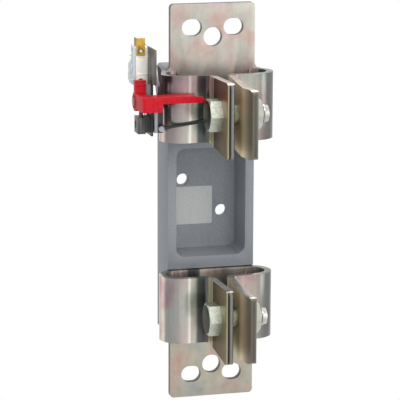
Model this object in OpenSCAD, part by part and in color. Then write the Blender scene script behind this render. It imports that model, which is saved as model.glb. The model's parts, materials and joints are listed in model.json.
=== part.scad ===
// Knife-blade fuse base, one pole, with a blown-fuse signalling switch.
// Millimetres. X runs to the right, Y to the back (the panel), Z up.
// The origin is the middle of the insulator block's back face.

/* [Insulator block] */
// Width of the moulded block
block_w = 66; // [50:1:90]
// Height of the moulded block
block_h = 202; // [160:1:260]
// Depth of the block from the panel to its rim
block_d = 32; // [24:1:50]
// Depth of the seat that a contact sheet lies in
seat_depth = 2; // [1:0.5:4]
// Radius of the block's four corners seen from the front
block_corner_r = 2; // [1:0.5:10]
// Width of the pocket at its mouth
pocket_w = 53; // [40:1:60]
// Height of the pocket at its mouth
pocket_h = 82; // [60:1:90]
// Thickness of the pocket's floor
pocket_floor = 6; // [4:0.5:12]
// How much smaller the pocket is at its floor, on each side
pocket_draft = 1; // [0.5:0.5:3]
// Radius of the pocket's corners
pocket_corner_r = 7; // [2:0.5:12]
// Sideways distance between the two fixing holes
fix_dx = 30; // [20:1:40]
// Upright distance between the two fixing holes
fix_dz = 25; // [15:1:40]
// Diameter of a fixing hole
fix_hole_d = 9; // [6:0.5:12]

/* [Rating label] */
// Width of the bare label
label_w = 33; // [20:1:40]
// Height of the bare label
label_h = 29; // [20:1:40]
// Thickness of the label
label_t = 0.3; // [0.2:0.1:1]

/* [Contact sheet] */
// Thickness of the contact sheet
sheet_t = 5; // [3:0.5:6]
// Height from the tip of one terminal tab to the other
overall_h = 297; // [250:1:360]
// Width of a terminal tab
tab_w = 64; // [40:1:80]
// Height of the two loops and jaws
wing_h = 49; // [40:1:60]
// Width over the two loops
wing_w = 85; // [75:1:110]
// Distance from the middle of the block to the middle of a contact
contact_z = 75; // [70:1:90]
// Outer radius of a loop
loop_r = 15.25; // [12:0.25:20]
// Radius between a tab and the wings
tab_fillet_r = 5; // [3:0.5:10]
// Radius of a tab's two corners
tab_corner_r = 3; // [1:0.5:8]
// Gap between the jaws, for the blade
blade_gap = 8.5; // [6:0.5:12]
// Inner radius of the bend from loop to jaw
bend_r = 3; // [2:0.5:5]
// Reach of the jaws in front of the loops
jaw_reach = 51; // [40:1:60]
// Length of the turned-out lip of the right jaw
lip_len = 13; // [5:1:14]
// How far that lip turns out
lip_out = 5; // [2:0.5:6]
// How much higher the left jaw is at its mouth, at the top and at the bottom
left_splay = 3; // [0:0.5:4]
// How much higher the right jaw is at its mouth, at the top and at the bottom
right_splay = 0.5; // [0:0.5:4]
// How far the left jaw's mouth hangs down
left_droop = 1.5; // [0:0.5:5]
// How far the right jaw's mouth hangs down
right_droop = 4.5; // [0:0.5:5]
// Radius of a jaw's front corners
jaw_corner_r = 5; // [2:0.5:8]

/* [Terminal holes] */
// Diameter of the middle hole of a tab
tab_hole_d = 14; // [10:0.5:18]
// Distance of the middle hole from the tab's tip
tab_hole_drop = 24.5; // [20:0.5:35]
// Width of a slot along the tab's tip
tab_slot_len = 15; // [12:0.5:20]
// Height of a slot
tab_slot_w = 12.5; // [8:0.5:16]
// Distance between the middles of the two slots
tab_slot_dx = 31.5; // [25:0.5:45]
// Distance of the slots from the tab's tip
tab_slot_drop = 17.5; // [12:0.5:30]

/* [Contact screws] */
// Diameter of the screws that hold a contact from behind
seat_screw_d = 8; // [5:1:10]
// Distance between the two screws of one contact
seat_screw_dx = 32; // [20:1:44]
// Diameter of a screw's head
seat_head_d = 13; // [9:1:16]
// Height of a screw's head
seat_head_h = 8; // [5:1:10]
// Thickness of the washer under a screw's head
seat_washer_t = 1.6; // [1:0.1:3]
// Diameter of that washer
seat_washer_d = 16; // [12:1:20]

/* [Clamp bolts] */
// Diameter of a clamp bolt
bolt_d = 14; // [10:1:16]
// Length of a clamp bolt under its head
bolt_len = 36; // [35:1:45]
// Width across the flats of the head and nut
hex_af = 22; // [17:1:24]
// Height of a bolt's head
head_h = 8.8; // [6:0.2:10]
// Height of a nut
nut_h = 9.5; // [8:0.5:13]
// Thickness of a spring washer
spring_washer_t = 2; // [2:0.5:4]
// Diameter of a spring washer
spring_washer_d = 24; // [20:1:28]

/* [Signal unit] */
// Thickness of the side plate that carries the switch
plate_t = 1.5; // [1:0.5:2]
// Gap between the loop and the far face of the side plate
plate_gap = 9; // [8:0.5:12]
// Depth of the side plate
plate_d = 26; // [25:1:30]
// Height of the side plate
plate_h = 64; // [60:1:70]
// Rise of the side plate's lower edge above the contact's lower edge
plate_rise = 5.5; // [4:0.5:7]
// Width of the switch's body, away from the side plate
switch_w = 11; // [10:0.5:12]
// Depth of the switch's body
switch_d = 15.9; // [14:0.1:17]
// Height of the switch's body
switch_h = 27.8; // [26:0.1:28]
// Rise of the switch's lower end above the middle of the contact
switch_rise = 17.2; // [17:0.1:19]
// Diameter of the switch's plunger
plunger_d = 3.6; // [3:0.1:4]
// How far the plunger stands out at rest
plunger_out = 2; // [2:0.1:2.4]
// Diameter of the switch's screws
switch_screw_d = 3; // [2.5:0.5:3]

/* [Signal lever] */
// Rise of the lever's pin above the middle of the contact
pin_rise = 6; // [5:0.5:7]
// How far the lever's pin is behind the front of the loop
pin_back = 10.5; // [10:0.5:11]
// Diameter of the lever's pin
pin_d = 4; // [3:0.5:5]
// Radius of the lever's hub
hub_r = 7; // [6:0.5:7]
// Length of the lever's hub
hub_len = 8; // [6:0.5:8]
// How far the lever's front face is in front of the loop
arm_reach = 14.5; // [13:0.5:17]
// Height of the lever's arm at its root
arm_h = 10.8; // [9:0.2:12]
// Thickness of the arm's top flange and front web
arm_t = 2; // [1.5:0.5:3]
// Height of the arm's front web
web_h = 4.8; // [4:0.2:6]
// End of the top flange, left of the middle
flange_end = 23; // [20:1:30]
// End of the arm's tip, left of the middle
tip_end = 16.8; // [14:0.2:20]

/* [Hidden] */
$fn = 48;
running = 0.05;
slack = 0.1;
seat_y = -(block_d - seat_depth);
sheet_front = seat_y - sheet_t;
loop_y = seat_y - loop_r;
loop_x = wing_w / 2 - loop_r;
loop_front = seat_y - 2 * loop_r;
jaw_in = blade_gap / 2;
jaw_out = jaw_in + sheet_t;
mouth_y = loop_front - jaw_reach;
lip_y = mouth_y + lip_len;
lip_round_y = mouth_y + sheet_t / 2;
bolt_y = loop_front - jaw_reach / 2;
wing_z = contact_z - wing_h / 2;
tab_end = overall_h / 2;
seat_gap = 0.5;
hex_r = hex_af / sqrt(3);
nut_x = jaw_out + spring_washer_t;
label_x = -pocket_w / 2 + pocket_draft + label_t;
label_top = fix_dz / 2 - fix_hole_d / 2 - 1;
counterbore_d = seat_washer_d + 1;
counterbore_h = 12;
plate_x = wing_w / 2 + plate_gap;
plate_z = wing_z + plate_rise;
pin_z = contact_z + pin_rise;
pin_y = -loop_front - pin_back;
arm_front = -loop_front + arm_reach;
switch_z = contact_z + switch_rise;
plate_right = -plate_x + plate_t;
plate_back = loop_front + 0.5 + plate_d;
plate_front = loop_front + 0.5;
plate_nose = plate_front - 6.5;
plate_edge = plate_front + 4;
plate_step = switch_z + 2.5;
plate_top = plate_z + plate_h;
switch_front = -pin_y + 4.5;
switch_left = -plate_x - switch_w;
switch_mid = -plate_x - switch_w / 2;
switch_top = switch_z + switch_h;
plunger_z = switch_z + 3;
cover_t = 2.4;
screw_low = [switch_front + 4.5, switch_z + 2.6];
screw_high = [switch_front + 11.9, switch_z + 24.8];
hub_left = -plate_x - 11;
lever_back = loop_front - 1.3;
lever_low = pin_z - 4.6;
lever_top = lever_low + arm_h;
finger_back = switch_front - plunger_out - slack;
finger_t = 5;
finger_top = switch_z + 4.1;
cross_right = -plate_x + 4;
bracket_t = 1.2;
bracket_low = plate_z + 3;
bracket_high = lever_low - 1.6;
bracket_leg = -wing_w / 2 - 0.3 - bracket_t;
rivet_d = 3;
rivet_head_d = 5.5;
rivet_head_h = 1.2;
rivet_z = [bracket_low + 4, bracket_high - 4];
rivet_y = plate_front + 16.5;
eyelet = [-wing_w / 2 - 3.1, plate_front, bracket_low + 3.4];
wire_d = 2.2;
wire_y = loop_front - wire_d / 2 - 0.1;
wire_end = [-jaw_out - bend_r - 1, bracket_low + 7.4];
switch_head_d = 1.7 * switch_screw_d;
switch_head_h = 0.65 * switch_screw_d;
switch_nut_d = 2.1 * switch_screw_d;
switch_nut_h = 0.8 * switch_screw_d;
coil_wire = 0.9;
coil_r = pin_d / 2 + 0.2 + coil_wire / 2;
anchor_reach = 5;
stop_x = hub_left + 3.2;
stop_y = plate_front + 3;
stop_top = lever_low - slack;
stop_h = 12;
stop_stem_d = 3;
stop_stem_h = 5.6;
stop_rivet = [stop_y + 6, stop_top - stop_stem_h - stop_h / 2];

// A box from its lowest corner to its highest corner
module span(low, high) {
  translate(low) cube(high - low);
}

// A cylinder along X from one place to another
module rod_x(x0, x1, y, z, d, sides = $fn) {
  translate([x0, y, z]) rotate([0, 90, 0]) cylinder(h = x1 - x0, d = d, $fn = sides);
}

// A cylinder along Y from one place to another
module rod_y(y0, y1, x, z, d, sides = $fn) {
  translate([x, y0, z]) rotate([-90, 0, 0]) cylinder(h = y1 - y0, d = d, $fn = sides);
}

// A hexagonal prism along X with two corners toward the front and back
module hex_x(x0, x1, y, z) {
  translate([x0, y, z]) rotate([0, 90, 0]) rotate([0, 0, 90])
    cylinder(h = x1 - x0, r = hex_r, $fn = 6);
}

// A rounded rectangle standing in the XZ plane, from one depth to another
module rounded_slab(w, h, r, y0, y1) {
  span([-w / 2 + r, y0, -h / 2], [w / 2 - r, y1, h / 2]);
  span([-w / 2, y0, -h / 2 + r], [w / 2, y1, h / 2 - r]);
  for (sx = [-1, 1], sz = [-1, 1])
    rod_y(y0, y1, sx * (w / 2 - r), sz * (h / 2 - r), 2 * r);
}

module insulator_block() {
  color([0.47, 0.49, 0.51]) difference() {
    rounded_slab(block_w, block_h, block_corner_r, -block_d, 0);
    for (s = [-1, 1]) contact_seat(s);
    pocket();
    for (s = [-1, 1])
      rod_y(-pocket_floor - 1, 1, -s * fix_dx / 2, s * fix_dz / 2, fix_hole_d);
    for (s = [-1, 1], side = [-1, 1])
      seat_screw_way(side * seat_screw_dx / 2, s * contact_z);
  }
}

// The recess for one contact sheet, open at the block's end
module contact_seat(s) {
  low = wing_z - seat_gap;
  high = block_h / 2 + 1;
  z0 = s > 0 ? low : -high;
  z1 = s > 0 ? high : -low;
  span([-block_w / 2 - 1, -block_d - 1, z0], [block_w / 2 + 1, seat_y, z1]);
}

// The front pocket: its walls and rounded corners all lean inward by the draft
module pocket() {
  in_x = pocket_w / 2 - pocket_corner_r;
  in_z = pocket_h / 2 - pocket_corner_r;
  rotate([90, 0, 0]) translate([0, 0, pocket_floor]) {
    translate([-in_x, -in_z, 0]) cube([2 * in_x, 2 * in_z, block_d]);
    for (turn = [0, 180]) rotate([0, 0, turn]) {
      translate([in_x, 0, 0]) pocket_side(2 * in_z);
      rotate([0, 0, 90]) translate([in_z, 0, 0]) pocket_side(2 * in_x);
      translate([in_x, in_z, 0]) rotate_extrude(angle = 90) wall_section();
      translate([-in_x, in_z, 0]) rotate([0, 0, 90]) rotate_extrude(angle = 90) wall_section();
    }
  }
}

// The slice of the pocket outside its corner's middle, from the floor to past the mouth
module wall_section() {
  depth = block_d - pocket_floor;
  grow = pocket_draft / depth;
  polygon([
    [0, 0], [pocket_corner_r - pocket_draft, 0],
    [pocket_corner_r + (block_d - depth) * grow, block_d], [0, block_d]
  ]);
}

module pocket_side(length) {
  rotate([90, 0, 0]) linear_extrude(length, center = true) wall_section();
}

module seat_screw_way(x, z) {
  rod_y(seat_y - 1, 1, x, z, seat_screw_d + 2 * slack);
  rod_y(-counterbore_h, 1, x, z, counterbore_d);
}

module rating_label() {
  color([0.78, 0.79, 0.80]) translate([label_x, -pocket_floor - label_t, label_top - label_h])
    cube([label_w, label_t, label_h]);
}

module upper_plate() {
  color([0.60, 0.57, 0.53]) contact_plate();
}

module upper_left_jaw() {
  color([0.60, 0.57, 0.53]) mirror([1, 0, 0])
    loop_and_jaw(0, left_splay - left_droop, left_splay + left_droop);
}

module upper_right_jaw() {
  color([0.60, 0.57, 0.53])
    loop_and_jaw(lip_out, right_splay - right_droop, right_splay + right_droop);
}

module lower_plate() {
  color([0.60, 0.57, 0.53]) rotate([0, 180, 0]) contact_plate();
}

module lower_left_jaw() {
  color([0.60, 0.57, 0.53]) rotate([0, 180, 0])
    loop_and_jaw(0, left_splay + left_droop, left_splay - left_droop);
}

module lower_right_jaw() {
  color([0.60, 0.57, 0.53]) rotate([0, 180, 0]) mirror([1, 0, 0])
    loop_and_jaw(lip_out, right_splay + right_droop, right_splay - right_droop);
}

// The flat part of a contact: its terminal tab and the back plate in the block's seat
module contact_plate() {
  difference() {
    union() {
      tab();
      span([-loop_x, sheet_front, wing_z], [loop_x, seat_y, wing_z + wing_h + 1]);
    }
    for (side = [-1, 1])
      rod_y(sheet_front - 1, seat_y + 1, side * seat_screw_dx / 2, contact_z, seat_screw_d + slack);
    tab_holes();
  }
}

module tab() {
  top = wing_z + wing_h;
  difference() {
    union() {
      span([-tab_w / 2, sheet_front, top], [tab_w / 2, seat_y, tab_end - tab_corner_r]);
      span([-tab_w / 2 + tab_corner_r, sheet_front, top], [tab_w / 2 - tab_corner_r, seat_y, tab_end]);
      for (side = [-1, 1])
        rod_y(sheet_front, seat_y, side * (tab_w / 2 - tab_corner_r), tab_end - tab_corner_r, 2 * tab_corner_r);
      span([-tab_w / 2 - tab_fillet_r, sheet_front, top],
        [tab_w / 2 + tab_fillet_r, seat_y, top + tab_fillet_r]);
    }
    for (side = [-1, 1])
      rod_y(sheet_front - 1, seat_y + 1, side * (tab_w / 2 + tab_fillet_r), top + tab_fillet_r, 2 * tab_fillet_r);
  }
}

module tab_holes() {
  rod_y(sheet_front - 1, seat_y + 1, 0, tab_end - tab_hole_drop, tab_hole_d);
  z = tab_end - tab_slot_drop;
  half = (tab_slot_len - tab_slot_w) / 2;
  for (side = [-1, 1]) {
    x = side * tab_slot_dx / 2;
    span([x - half, sheet_front - 1, z - tab_slot_w / 2], [x + half, seat_y + 1, z + tab_slot_w / 2]);
    for (end = [-1, 1])
      rod_y(sheet_front - 1, seat_y + 1, x + end * half, z, tab_slot_w);
  }
}

// A loop that leaves the back plate, turns to the front and ends in a jaw.
// The jaw's mouth turns out by the lip and rises over and falls under the wing.
module loop_and_jaw(lip, over, under) {
  bend_x = jaw_out + bend_r;
  difference() {
    union() {
      translate([loop_x, loop_y, wing_z]) arc_wall(loop_r, sheet_t, -90, 180);
      span([bend_x, loop_front, wing_z], [loop_x, loop_front + sheet_t, wing_z + wing_h]);
      translate([bend_x, loop_front - bend_r, wing_z]) arc_wall(bend_r + sheet_t, sheet_t, 90, 90);
      jaw(lip, over, under);
    }
    rod_x(0, jaw_out + 5, bolt_y, contact_z, bolt_d + 2 * running);
  }
}

// A bent wall of the wing's height: outer radius, thickness, start and sweep
module arc_wall(r, t, start, sweep) {
  rotate([0, 0, start]) rotate_extrude(angle = sweep) translate([r - t, 0]) square([t, wing_h]);
}

module jaw(lip, over, under) {
  back_y = loop_front - bend_r;
  out = lip * (lip_y - lip_round_y) / lip_len;
  low = wing_z - max(under, 0);
  high = wing_z + wing_h + max(over, 0);
  intersection() {
    translate([0, 0, low]) linear_extrude(high - low) union() {
      polygon([
        [jaw_in, back_y], [jaw_out, back_y], [jaw_out, lip_y],
        [jaw_out + out, lip_round_y], [jaw_in + out, lip_round_y], [jaw_in, lip_y]
      ]);
      translate([(jaw_in + jaw_out) / 2 + out, lip_round_y]) circle(d = sheet_t);
    }
    jaw_outline(back_y, over, under);
  }
}

// The side outline of a jaw with rounded corners at its mouth
module jaw_outline(back_y, over, under) {
  low = wing_z - under;
  high = wing_z + wing_h + over;
  far = jaw_out + lip_out + 5;
  corner_y = mouth_y + jaw_corner_r;
  rotate([90, 0, 90]) linear_extrude(far) polygon([
    [back_y + 1, wing_z], [back_y, wing_z], [corner_y, low], [corner_y, high],
    [back_y, wing_z + wing_h], [back_y + 1, wing_z + wing_h]
  ]);
  span([0, mouth_y - 1, low + jaw_corner_r], [far, corner_y, high - jaw_corner_r]);
  for (z = [low + jaw_corner_r, high - jaw_corner_r])
    rod_x(0, far, corner_y, z, 2 * jaw_corner_r);
}

module contact_screws() {
  color([0.72, 0.72, 0.70]) for (s = [-1, 1], side = [-1, 1])
    translate([side * seat_screw_dx / 2, 0, s * contact_z]) seat_screw();
}

// A socket head screw whose head sits in the block's counterbore
module seat_screw() {
  under_head = -counterbore_h + seat_washer_t;
  difference() {
    union() {
      rod_y(sheet_front, under_head + 1, 0, 0, seat_screw_d);
      rod_y(under_head, under_head + seat_head_h, 0, 0, seat_head_d);
    }
    translate([0, under_head + seat_head_h - 4, 0]) rotate([-90, 0, 0])
      cylinder(h = 5, d = seat_head_d / 2, $fn = 6);
  }
}

module contact_washers() {
  color([0.66, 0.66, 0.64]) for (s = [-1, 1], side = [-1, 1])
    translate([side * seat_screw_dx / 2, 0, s * contact_z]) difference() {
      rod_y(-counterbore_h, -counterbore_h + seat_washer_t, 0, 0, seat_washer_d);
      rod_y(-counterbore_h - 1, 0, 0, 0, seat_screw_d + 4 * slack);
    }
}

module upper_clamp_bolt() {
  color([0.68, 0.68, 0.65]) clamp_bolt(contact_z);
}

module lower_clamp_bolt() {
  color([0.68, 0.68, 0.65]) clamp_bolt(-contact_z);
}

// A hexagon bolt through both jaws, its head on the left
module clamp_bolt(z) {
  intersection() {
    hex_x(-jaw_out - head_h, -jaw_out, bolt_y, z);
    head_chamfer(z);
  }
  rod_x(-jaw_out - 1, -jaw_out + bolt_len - 1, bolt_y, z, bolt_d);
  translate([-jaw_out + bolt_len - 1, bolt_y, z]) rotate([0, 90, 0])
    cylinder(h = 1, d1 = bolt_d, d2 = bolt_d - 2);
}

// The turned cone that takes the corners off a bolt's head
module head_chamfer(z) {
  r = hex_af / 2 - 0.4;
  grow = head_h * 1.9;
  translate([-jaw_out - head_h, bolt_y, z]) rotate([0, 90, 0])
    cylinder(h = head_h, r1 = r, r2 = r + grow);
}

module clamp_nuts() {
  color([0.68, 0.68, 0.65]) for (s = [-1, 1]) difference() {
    hex_x(nut_x, nut_x + nut_h, bolt_y, s * contact_z);
    rod_x(nut_x - 1, nut_x + nut_h + 1, bolt_y, s * contact_z, bolt_d + 2 * running);
  }
}

module spring_washers() {
  color([0.55, 0.55, 0.54]) for (s = [-1, 1]) difference() {
    rod_x(jaw_out, nut_x, bolt_y, s * contact_z, spring_washer_d);
    rod_x(jaw_out - 1, nut_x + 1, bolt_y, s * contact_z, bolt_d + 2 * running);
    span([jaw_out - 1, bolt_y - spring_washer_d, s * contact_z - 0.7],
      [nut_x + 1, bolt_y, s * contact_z + 0.7]);
  }
}

// The plate's upper part reaches further forward than its lower part
module side_plate() {
  color([0.13, 0.13, 0.14]) difference() {
    union() {
      span([-plate_x, plate_edge, plate_z], [plate_right, plate_back, plate_top]);
      span([-plate_x, plate_nose, plate_step], [plate_right, plate_back, plate_top]);
    }
    rod_x(-plate_x - 1, plate_right + 1, -pin_y, pin_z, pin_d + 2 * running);
    rod_x(-plate_x - 1, plate_right + 1, -pin_y + anchor_reach, pin_z - coil_r, coil_wire + 1.4);
    for (hole = [screw_low, screw_high])
      rod_x(-plate_x - 1, plate_right + 1, hole[0], hole[1], switch_screw_d + slack);
    for (z = rivet_z)
      rod_x(-plate_x - 1, plate_right + 1, rivet_y, z, rivet_d + slack);
    rod_x(-plate_x - 1, plate_right + 1, stop_rivet[0], stop_rivet[1], rivet_d + slack);
  }
}

// The sheet that joins the side plate to the loop: a leg on the plate,
// a front, a leg along the loop and a hook behind it
module loop_bracket() {
  leg_back = rivet_y + 4;
  color([0.62, 0.63, 0.64]) difference() {
    union() {
      span([plate_right, plate_front, bracket_low],
        [plate_right + bracket_t, leg_back, bracket_high]);
      bracket_front();
      span([bracket_leg, plate_front, bracket_low],
        [bracket_leg + bracket_t, seat_y + bracket_t + slack, bracket_high]);
      span([bracket_leg, seat_y + slack, bracket_low],
        [-block_w / 2 - 2.5, seat_y + bracket_t + slack, bracket_high]);
    }
    for (place = [[rivet_y, rivet_z[0]], [rivet_y, rivet_z[1]], stop_rivet])
      rod_x(plate_right - 1, plate_right + bracket_t + 1, place[0], place[1], rivet_d + slack);
    rod_y(plate_front - 1, plate_front + bracket_t + 1, eyelet[0], eyelet[2], rivet_d + slack);
  }
}

// The bracket's front with the ear that reaches up beside the loop, and the ear's slit
module bracket_front() {
  right = bracket_leg + bracket_t;
  ear_right = right - 2.4;
  ear_top = switch_z + 16.3;
  foot = plate_right + 1.7;
  translate([0, plate_front + bracket_t, 0]) rotate([90, 0, 0]) linear_extrude(bracket_t) difference() {
    polygon([
      [plate_right, bracket_low], [right, bracket_low], [right, bracket_high], [ear_right, lever_top],
      [ear_right + 0.4, plate_step], [ear_right, ear_top - 3], [ear_right - 2.4, ear_top],
      [plate_right, ear_top - 2], [plate_right, plate_step + 1], [plate_right + 0.7, plate_step - 1],
      [foot, lever_top - 0.7], [foot, bracket_high], [plate_right, bracket_high]
    ]);
    polygon([
      [plate_right + 1.2, ear_top - 3], [plate_right + 2, ear_top - 2.7],
      [ear_right - 1, plate_step + 0.3], [ear_right - 1.2, plate_step - 3.3],
      [plate_right + 2.6, plate_step + 0.1]
    ]);
  }
}

module bracket_rivets() {
  color([0.70, 0.70, 0.68]) {
    for (z = rivet_z) rivet(-plate_x, rivet_y, z);
    rivet(-plate_x - 4, stop_rivet[0], stop_rivet[1]);
  }
}

// A rivet whose left head starts at x and whose right head sits on the bracket
module rivet(x, y, z) {
  right = plate_right + bracket_t;
  rod_x(x - 1, right + 1, y, z, rivet_d);
  rod_x(right, right + rivet_head_h, y, z, rivet_head_d);
  rod_x(x - rivet_head_h, x, y, z, rivet_head_d);
}

// The small eyelet that holds the end of the retaining wire
module wire_eyelet() {
  color([0.74, 0.76, 0.78]) difference() {
    union() {
      rod_y(wire_y - wire_d / 2 - 0.8, plate_front, eyelet[0], eyelet[2], wire_d + 2);
      rod_y(plate_front - 1, plate_front + bracket_t, eyelet[0], eyelet[2], rivet_d);
    }
    wire_line(wire_d + slack);
  }
}

// The straight part of the wire, from the eyelet past the front of the loop
module wire_line(d) {
  rise = wire_end[1] - eyelet[2];
  run = wire_end[0] - eyelet[0];
  tilt = atan2(rise, run);
  translate([eyelet[0] - 1, wire_y, eyelet[2]]) rotate([0, 90 - tilt, 0])
    cylinder(h = norm([run, rise]) + 1, d = d, $fn = 24);
}

module retaining_wire() {
  color([0.10, 0.10, 0.11]) wire_line(wire_d);
}

module switch_body() {
  color([0.86, 0.86, 0.82]) difference() {
    span([switch_left + cover_t, switch_front, switch_z], [-plate_x, switch_front + switch_d, switch_top]);
    rod_y(switch_front - 1, switch_front + 2.85, switch_mid, plunger_z, plunger_d + 2 * running);
    for (hole = [screw_low, screw_high])
      rod_x(switch_left - 1, -plate_x + 1, hole[0], hole[1], switch_screw_d + slack);
  }
}

// The lid that closes the switch on the side away from the plate; the screws' heads are sunk in it
module switch_cover() {
  color([0.80, 0.82, 0.80]) difference() {
    union() {
      span([switch_left, switch_front, switch_z], [switch_left + cover_t, switch_front + switch_d, switch_top]);
      rod_x(switch_left - 1.4, switch_left, switch_front + 6, switch_z + 12, 9);
    }
    for (hole = [screw_low, screw_high]) {
      rod_x(switch_left - 1, switch_left + cover_t + 1, hole[0], hole[1], switch_screw_d + slack);
      rod_x(switch_left - 1, switch_left + switch_head_h, hole[0], hole[1], switch_head_d + slack);
    }
  }
}

module switch_plunger() {
  color([0.55, 0.12, 0.12]) rod_y(switch_front - plunger_out, switch_front + 0.9, switch_mid, plunger_z, plunger_d);
}

module switch_screws() {
  color([0.72, 0.72, 0.70]) for (hole = [screw_low, screw_high]) {
    rod_x(switch_left + 1, plate_right + switch_nut_h + 0.6, hole[0], hole[1], switch_screw_d);
    difference() {
      rod_x(switch_left, switch_left + switch_head_h, hole[0], hole[1], switch_head_d);
      span([switch_left - 1, hole[0] - switch_head_d, hole[1] - 0.4],
        [switch_left + switch_head_h / 2, hole[0] + switch_head_d, hole[1] + 0.4]);
    }
  }
}

module switch_nuts() {
  color([0.72, 0.72, 0.70]) for (hole = [screw_low, screw_high]) difference() {
    translate([plate_right, hole[0], hole[1]]) rotate([0, 90, 0]) cylinder(h = switch_nut_h, d = switch_nut_d, $fn = 6);
    rod_x(plate_right - 1, plate_right + 3, hole[0], hole[1], switch_screw_d + slack);
  }
}

// The brass tab at the switch's top: a front leaf with an eye and a side leaf
module common_terminal() {
  left = switch_mid - 3;
  leaf_t = 0.8;
  color([0.80, 0.62, 0.25]) difference() {
    union() {
      span([left, switch_front - leaf_t, switch_top - 6.5], [left + 6.4, switch_front, switch_top + 6.3]);
      span([left, switch_front - leaf_t, switch_top], [left + leaf_t, switch_front + 7, switch_top + 6.3]);
      span([left, switch_front - leaf_t, switch_top], [left + 6.4, switch_front + 7, switch_top + leaf_t]);
    }
    rod_y(switch_front - 2, switch_front + 1, left + 3.4, switch_top - 3, 2.6);
  }
}

module back_terminals() {
  back = switch_front + switch_d;
  color([0.80, 0.62, 0.25]) for (z = [switch_z + 9, switch_z + 19]) difference() {
    span([switch_mid - 3.15, back, z - 0.4], [switch_mid + 3.15, back + 7.5, z + 0.4]);
    translate([switch_mid, back + 5, z - 1]) cylinder(h = 2, d = 2);
  }
}

module signal_lever() {
  color([0.70, 0.12, 0.15]) difference() {
    union() {
      rod_x(hub_left, hub_left + hub_len, -pin_y, pin_z, 2 * hub_r);
      side_arm();
      finger();
      cross_arm();
    }
    rod_x(hub_left - 1, hub_left + hub_len + 1, -pin_y, pin_z, pin_d + 2 * running);
    rod_y(lever_back - 2 - slack, lever_back + 1,
      hub_left + hub_len + slack + coil_wire / 2, pin_z + coil_r, coil_wire + slack);
  }
}

// The part of the lever from its hub to its front
module side_arm() {
  span([hub_left, -arm_front, lever_low], [hub_left + hub_len, -pin_y, lever_top]);
}

// The upright finger in front of the switch's plunger
module finger() {
  span([hub_left, finger_back - finger_t, pin_z], [hub_left + hub_len, finger_back, finger_top]);
}

// The arm that reaches across the front of the loop
module cross_arm() {
  span([hub_left, -arm_front, lever_low], [cross_right, lever_back, lever_top]);
  span([hub_left, -arm_front, lever_top - arm_t], [-flange_end, lever_back, lever_top]);
  span([hub_left, -arm_front, lever_top - web_h], [-flange_end, -arm_front + arm_t, lever_top]);
  span([-flange_end - 2, -arm_front, lever_top - web_h], [-tip_end - 2, -arm_front + arm_t, lever_top - 0.5]);
  rod_y(-arm_front, -arm_front + arm_t, -tip_end - 2, lever_top - web_h / 2 - 0.25, web_h - 0.5);
}

module lever_pin() {
  color([0.74, 0.74, 0.72]) {
    rod_x(hub_left - 0.2, plate_right + 3, -pin_y, pin_z, pin_d);
    rod_x(hub_left - 1.6, hub_left - 0.2, -pin_y, pin_z, pin_d + 3);
  }
}

module pin_ring() {
  color([0.30, 0.30, 0.32]) difference() {
    rod_x(plate_right + 0.1, plate_right + 1.1, -pin_y, pin_z, pin_d + 4);
    rod_x(plate_right - 1, plate_right + 2, -pin_y, pin_z, pin_d);
  }
}

// Two turns of wire round the pin, one leg into the lever and one into the side plate
module lever_spring() {
  start = hub_left + hub_len + slack + coil_wire / 2;
  last = start + coil_wire + slack;
  bend = 1;
  leg_z = pin_z - coil_r;
  leg_y = -pin_y + anchor_reach - bend;
  color([0.58, 0.58, 0.58]) {
    coil_turn(start, -150);
    rod_y(lever_back - 2, -pin_y, start, pin_z + coil_r, coil_wire);
    coil_turn(last, 30);
    rod_y(-pin_y, leg_y, last, leg_z, coil_wire);
    translate([last + bend, leg_y, leg_z]) rotate([0, 0, 90]) rotate_extrude(angle = 90)
      translate([bend, 0]) circle(d = coil_wire);
    rod_x(last + bend, plate_right - 0.2, leg_y + bend, leg_z, coil_wire);
  }
}

// One open turn of the spring, starting at an angle from straight below the pin
module coil_turn(x, start) {
  translate([x, -pin_y, pin_z]) rotate([0, 90, 0]) rotate([0, 0, start]) rotate_extrude(angle = 330)
    translate([coil_r, 0]) circle(d = coil_wire);
}

// The post under the lever, with the foot that is riveted to the side plate
module stop_block() {
  z1 = stop_top - stop_stem_h;
  z0 = z1 - stop_h;
  color([0.17, 0.17, 0.18]) difference() {
    union() {
      span([stop_x - 2.8, stop_y - 3, z0], [stop_x + 2.8, stop_y + 3, z1]);
      span([stop_x - 2.8, stop_y + 2, z0], [-plate_x, stop_y + 9, z1]);
      translate([stop_x, stop_y, z1]) cylinder(h = stop_stem_h, d = stop_stem_d);
    }
    rod_x(stop_x - 4, -plate_x + 1, stop_rivet[0], stop_rivet[1], rivet_d + slack);
    rod_x(stop_x - 4, -plate_x - 4, stop_rivet[0], stop_rivet[1], rivet_head_d + slack);
  }
}

insulator_block();
rating_label();
upper_plate();
upper_left_jaw();
upper_right_jaw();
lower_plate();
lower_left_jaw();
lower_right_jaw();
contact_screws();
contact_washers();
upper_clamp_bolt();
lower_clamp_bolt();
clamp_nuts();
spring_washers();
side_plate();
loop_bracket();
bracket_rivets();
wire_eyelet();
retaining_wire();
switch_body();
switch_cover();
switch_plunger();
switch_screws();
switch_nuts();
common_terminal();
back_terminals();
signal_lever();
lever_pin();
pin_ring();
lever_spring();
stop_block();
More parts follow.
